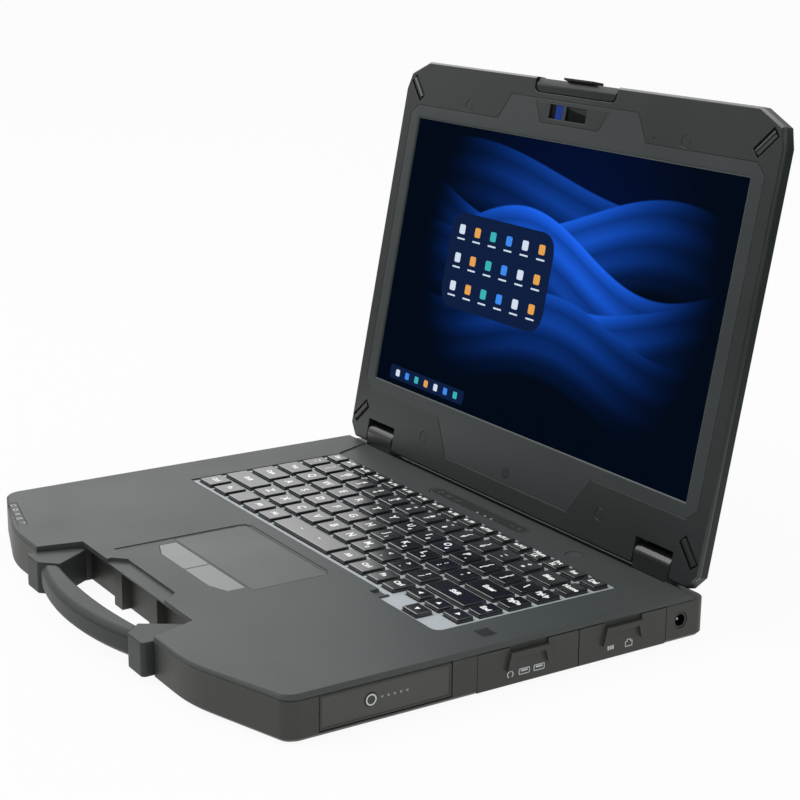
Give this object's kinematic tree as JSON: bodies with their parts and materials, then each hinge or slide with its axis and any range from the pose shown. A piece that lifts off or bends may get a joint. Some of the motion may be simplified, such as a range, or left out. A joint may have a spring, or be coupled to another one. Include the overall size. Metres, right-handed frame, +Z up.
{
  "type": "laptop computer",
  "caption": "Rugged laptop computer, open, with a hinged screen, island keyboard, touchpad, side port doors, slide-out battery and a bowed carry handle in a bay at the front edge.",
  "frame": {"origin": "on the desk, under the middle of the whole open laptop as its box is measured", "axes": "+X to the user's right along the hinge line, +Y from the user to the back, +Z up"},
  "size_m": [0.354, 0.3388, 0.2782],
  "materials": {
    "case_plastic": "moulded charcoal plastic with a fine texture",
    "deck_plastic": "moulded charcoal plastic with a fine texture",
    "touchpad_film": "fine matte film",
    "bezel_plastic": "moulded dark grey plastic",
    "surround_plastic": "moulded mid grey plastic",
    "key_plastic": "moulded black keycap plastic",
    "plate_paint": "pale grey paint",
    "screen_film": "anti-glare display glass",
    "rubber": "matte black rubber",
    "grip_plastic": "grey plastic with a soft finish",
    "battery_plastic": "moulded charcoal plastic",
    "gloss_black": "polished black plastic",
    "lamp": "clear lamp lens",
    "blue_plastic": "blue plastic",
    "steel": "ground steel",
    "port_plastic": "black connector plastic",
    "board": "green circuit board",
    "fin_metal": "copper"
  },
  "bodies": {
    "base": {"base_case": "case_plastic", "control_strip": "gloss_black", "fan_housing": "port_plastic", "fingerprint_reader": "gloss_black", "handle_collar_left": "rubber", "handle_collar_right": "rubber", "handle_grip": "grip_plastic", "heat_sink": "fin_metal", "hinge_block_left": "gloss_black", "hinge_block_right": "gloss_black", "keyboard_plate": "plate_paint", "keyboard_web": "plate_paint", "main_board": "board", "memory_module": "port_plastic", "port_block_front": "port_plastic", "port_block_left": "port_plastic", "port_block_rear": "port_plastic", "power_inlet": "port_plastic", "processor": "port_plastic", "rubber_feet": "rubber", "service_hatch": "case_plastic", "solid_state_drive": "port_plastic", "status_window": "gloss_black", "top_cover": "deck_plastic", "touchpad": "touchpad_film"},
    "lid": {"lid_back_cover": "case_plastic", "lid_back_plate": "case_plastic", "lid_bezel": "bezel_plastic", "screen_surround": "surround_plastic", "surround_plug": "bezel_plastic", "bezel_plugs": "bezel_plastic", "corner_bumpers": "rubber", "display_panel": "screen_film", "camera_cover": "bezel_plastic", "camera_module": "gloss_black", "latch_pin": "steel", "hinge_pins": "steel"},
    "latch": {"lid_latch": "bezel_plastic"},
    "shutter": {"camera_shutter": "blue_plastic"},
    "battery": {"battery_pack": "battery_plastic", "charge_lamps": "lamp"},
    "charge_button": {"charge_button": "gloss_black"},
    "battery_latch": {"battery_latch": "case_plastic"},
    "door_front": {"port_door_front": "case_plastic"},
    "door_rear": {"port_door_rear": "case_plastic"},
    "door_left": {"port_door_left": "case_plastic"},
    "button_left": {"touchpad_button_left": "deck_plastic"},
    "button_right": {"touchpad_button_right": "deck_plastic"},
    "power_button": {"power_button": "gloss_black"},
    "fan": {"fan_rotor": "port_plastic"},
    "key_row_function": {"key_row_function": "key_plastic"},
    "key_row_number": {"key_row_number": "key_plastic"},
    "key_row_upper": {"key_row_upper": "key_plastic"},
    "key_row_home": {"key_row_home": "key_plastic"},
    "key_row_lower": {"key_row_lower": "key_plastic"},
    "key_row_bottom": {"key_row_bottom": "key_plastic"},
    "space_bar": {"space_bar": "key_plastic"},
    "arrow_keys": {"arrow_keys": "key_plastic"}
  },
  "joints": [
    {"name": "lid_hinge", "type": "hinge", "parent": "base", "child": "lid", "pos_m": [0, 0.11732, 0.0325], "axis": [1, 0, 0], "range_deg": [-39.2, 100.8]},
    {"name": "latch_pivot", "type": "hinge", "parent": "lid", "child": "latch", "pos_m": [0, 0.1627, 0.27255], "axis": [1, 0, 0], "range_deg": [-25, 0], "stiffness_Nm_per_rad": 0.06, "springref_deg": 20.05},
    {"name": "shutter_slide", "type": "slide", "parent": "lid", "child": "shutter", "axis": [1, 0, 0], "range_m": [-0.0052, 0]},
    {"name": "battery_out", "type": "slide", "parent": "base", "child": "battery", "axis": [1, 0, 0], "range_m": [0, 0.09]},
    {"name": "charge_press", "type": "slide", "parent": "battery", "child": "charge_button", "axis": [-1, 0, 0], "range_m": [0, 0.0006], "stiffness_N_per_m": 300, "springref_m": -0.001},
    {"name": "battery_latch_slide", "type": "slide", "parent": "base", "child": "battery_latch", "axis": [0, 1, 0], "range_m": [0, 0.005], "stiffness_N_per_m": 150, "springref_m": -0.003},
    {"name": "door_front_hinge", "type": "hinge", "parent": "base", "child": "door_front", "pos_m": [0.1738, 0.00212, 0.00345], "axis": [0, 1, 0], "range_deg": [0, 90]},
    {"name": "door_rear_hinge", "type": "hinge", "parent": "base", "child": "door_rear", "pos_m": [0.1738, 0.06262, 0.00345], "axis": [0, 1, 0], "range_deg": [0, 90]},
    {"name": "door_left_hinge", "type": "hinge", "parent": "base", "child": "door_left", "pos_m": [-0.1738, -0.01488, 0.00345], "axis": [0, -1, 0], "range_deg": [0, 90]},
    {"name": "button_left_press", "type": "slide", "parent": "base", "child": "button_left", "axis": [0, 0, -1], "range_m": [0, 0.0005], "stiffness_N_per_m": 400, "springref_m": -0.001},
    {"name": "button_right_press", "type": "slide", "parent": "base", "child": "button_right", "axis": [0, 0, -1], "range_m": [0, 0.0005], "stiffness_N_per_m": 400, "springref_m": -0.001},
    {"name": "power_press", "type": "slide", "parent": "base", "child": "power_button", "axis": [0, 0, -1], "range_m": [0, 0.0006], "stiffness_N_per_m": 400, "springref_m": -0.001},
    {"name": "fan_spin", "type": "hinge", "parent": "base", "child": "fan", "pos_m": [-0.134, 0.05912, 0.0089], "axis": [0, 0, 1], "continuous": true},
    {"name": "key_row_function_press", "type": "slide", "parent": "base", "child": "key_row_function", "axis": [0, 0, -1], "range_m": [0, 0.0015], "stiffness_N_per_m": 400, "springref_m": -0.0015},
    {"name": "key_row_number_press", "type": "slide", "parent": "base", "child": "key_row_number", "axis": [0, 0, -1], "range_m": [0, 0.0015], "stiffness_N_per_m": 400, "springref_m": -0.0015},
    {"name": "key_row_upper_press", "type": "slide", "parent": "base", "child": "key_row_upper", "axis": [0, 0, -1], "range_m": [0, 0.0015], "stiffness_N_per_m": 400, "springref_m": -0.0015},
    {"name": "key_row_home_press", "type": "slide", "parent": "base", "child": "key_row_home", "axis": [0, 0, -1], "range_m": [0, 0.0015], "stiffness_N_per_m": 400, "springref_m": -0.0015},
    {"name": "key_row_lower_press", "type": "slide", "parent": "base", "child": "key_row_lower", "axis": [0, 0, -1], "range_m": [0, 0.0015], "stiffness_N_per_m": 400, "springref_m": -0.0015},
    {"name": "key_row_bottom_press", "type": "slide", "parent": "base", "child": "key_row_bottom", "axis": [0, 0, -1], "range_m": [0, 0.0015], "stiffness_N_per_m": 400, "springref_m": -0.0015},
    {"name": "space_bar_press", "type": "slide", "parent": "base", "child": "space_bar", "axis": [0, 0, -1], "range_m": [0, 0.0015], "stiffness_N_per_m": 400, "springref_m": -0.0015},
    {"name": "arrow_keys_press", "type": "slide", "parent": "base", "child": "arrow_keys", "axis": [0, 0, -1], "range_m": [0, 0.0015], "stiffness_N_per_m": 400, "springref_m": -0.0015}
  ]
}
